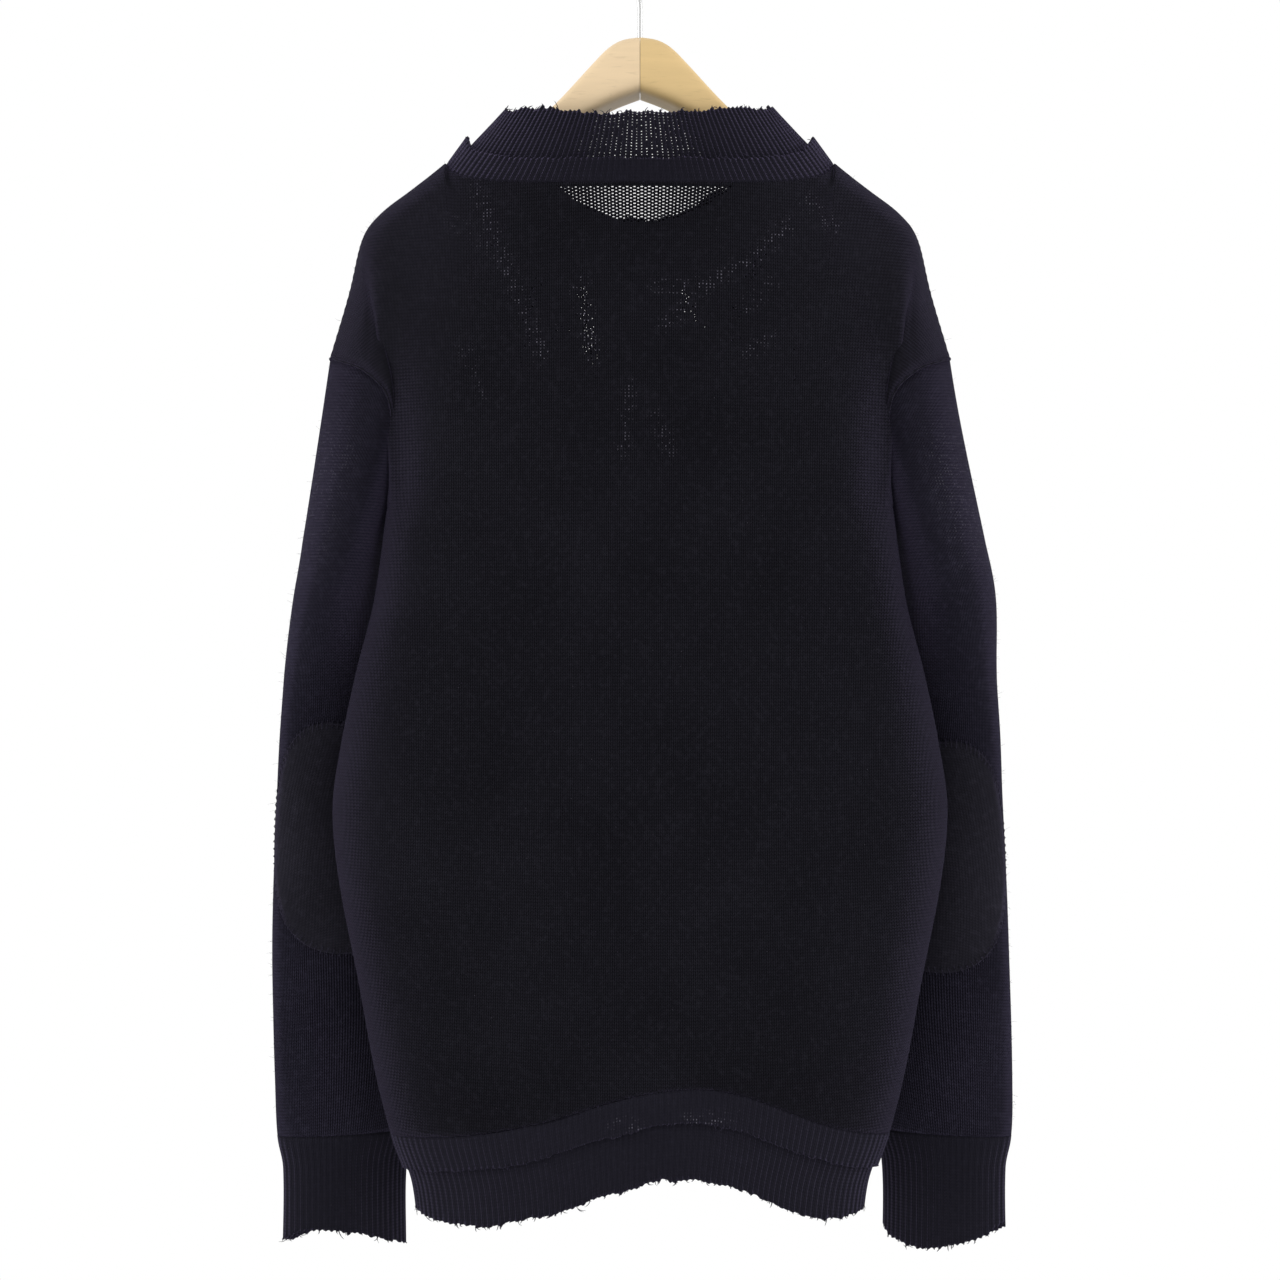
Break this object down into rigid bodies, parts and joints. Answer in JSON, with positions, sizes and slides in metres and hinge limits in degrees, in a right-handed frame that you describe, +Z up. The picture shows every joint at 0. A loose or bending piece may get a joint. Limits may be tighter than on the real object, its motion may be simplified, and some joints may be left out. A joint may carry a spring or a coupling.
{
  "type": "darned wool pullover on a wooden coat hanger",
  "caption": "Dark fine-knit wool pullover with doubled raw-edged ribs and oval elbow patches, hanging on a pale wooden hanger with a steel hook.",
  "frame": {"origin": "the underside of the hook's crown, where the rail touches it", "axes": "+Z up, the front of the garment faces -Y, its back +Y, and +X is the wearer's left"},
  "size_m": [0.5097, 0.1585, 0.9134],
  "materials": {
    "knit": "fine wool jersey, near black with a violet cast, soft fuzz",
    "rib": "one by one wool rib with raw, frayed edges",
    "patch": "dense knit oval, whip-stitched round its edge",
    "beech": "pale lacquered beech, satin",
    "steel": "bright drawn wire"
  },
  "bodies": {
    "root": {"back_yoke": "knit", "front_yoke": "knit", "back_body": "knit", "front_body": "knit", "upper_sleeve_left": "knit", "lower_sleeve_left": "knit", "upper_sleeve_right": "knit", "lower_sleeve_right": "knit", "cuff_left": "rib", "cuff_right": "rib", "elbow_patch_left": "patch", "elbow_patch_right": "patch", "collar_outer": "rib", "collar_inner": "rib", "hem_outer": "rib", "hem_inner": "rib", "hanger_arm_left": "beech", "hanger_arm_right": "beech", "hook": "steel"}
  },
  "joints": []
}
